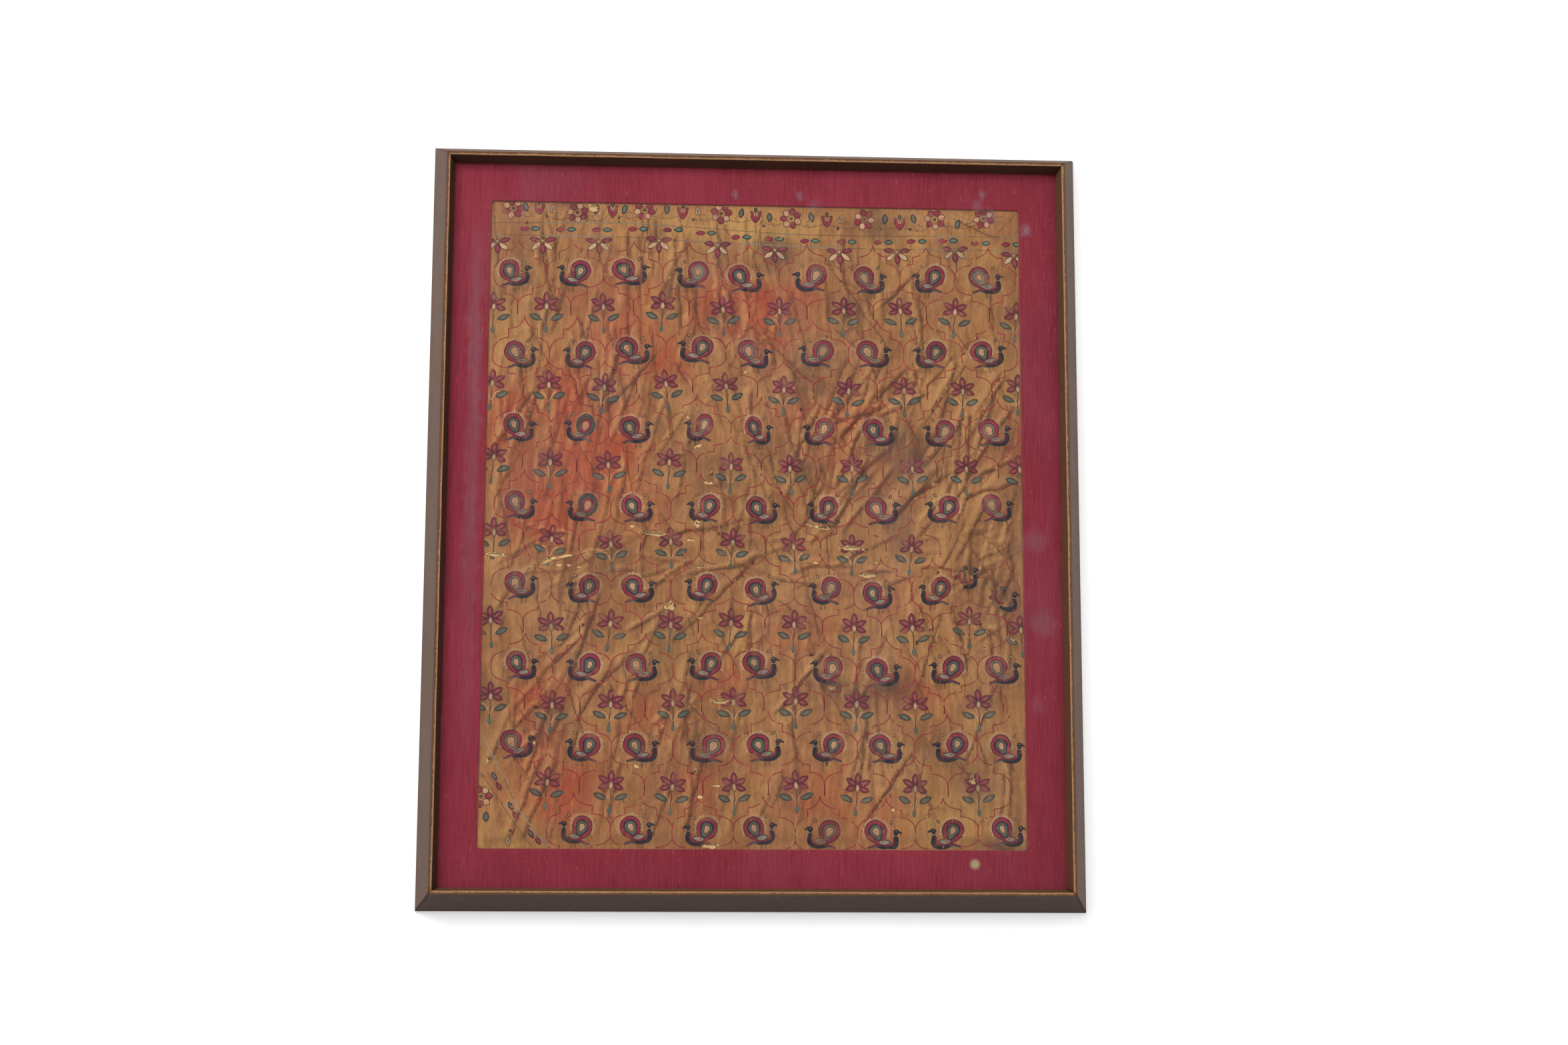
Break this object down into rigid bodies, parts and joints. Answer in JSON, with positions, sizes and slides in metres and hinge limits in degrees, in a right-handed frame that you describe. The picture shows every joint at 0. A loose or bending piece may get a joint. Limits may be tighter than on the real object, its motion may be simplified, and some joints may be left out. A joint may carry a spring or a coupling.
{
  "type": "framed textile with its picture frame",
  "caption": "Old embroidered silk panel with rows of birds and flower sprigs, behind glass in a red linen window mat and a narrow stained wood frame.",
  "frame": {"origin": "middle of the frame's back, on the surface that it lies on", "axes": "+Z out of the picture, +Y towards the top of the picture, +X to the right of someone who looks at it"},
  "size_m": [0.68, 0.7974, 0.0461],
  "materials": {
    "wood": "dark stained and dulled, worn to bare gold brown along the ridge",
    "glazing": "clear, with a few dull smudges",
    "linen": "plain woven crimson linen wrapped round the window mat",
    "silk": "aged golden brown silk, stained and creased, with fine chain stitch in crimson, navy, teal and cream",
    "board": "cream cloth covered board"
  },
  "bodies": {
    "root": {"rail_top": "wood", "rail_bottom": "wood", "rail_left": "wood", "rail_right": "wood", "glazing": "glazing", "mat": "linen", "textile": "silk", "mount_board": "board"}
  },
  "joints": []
}
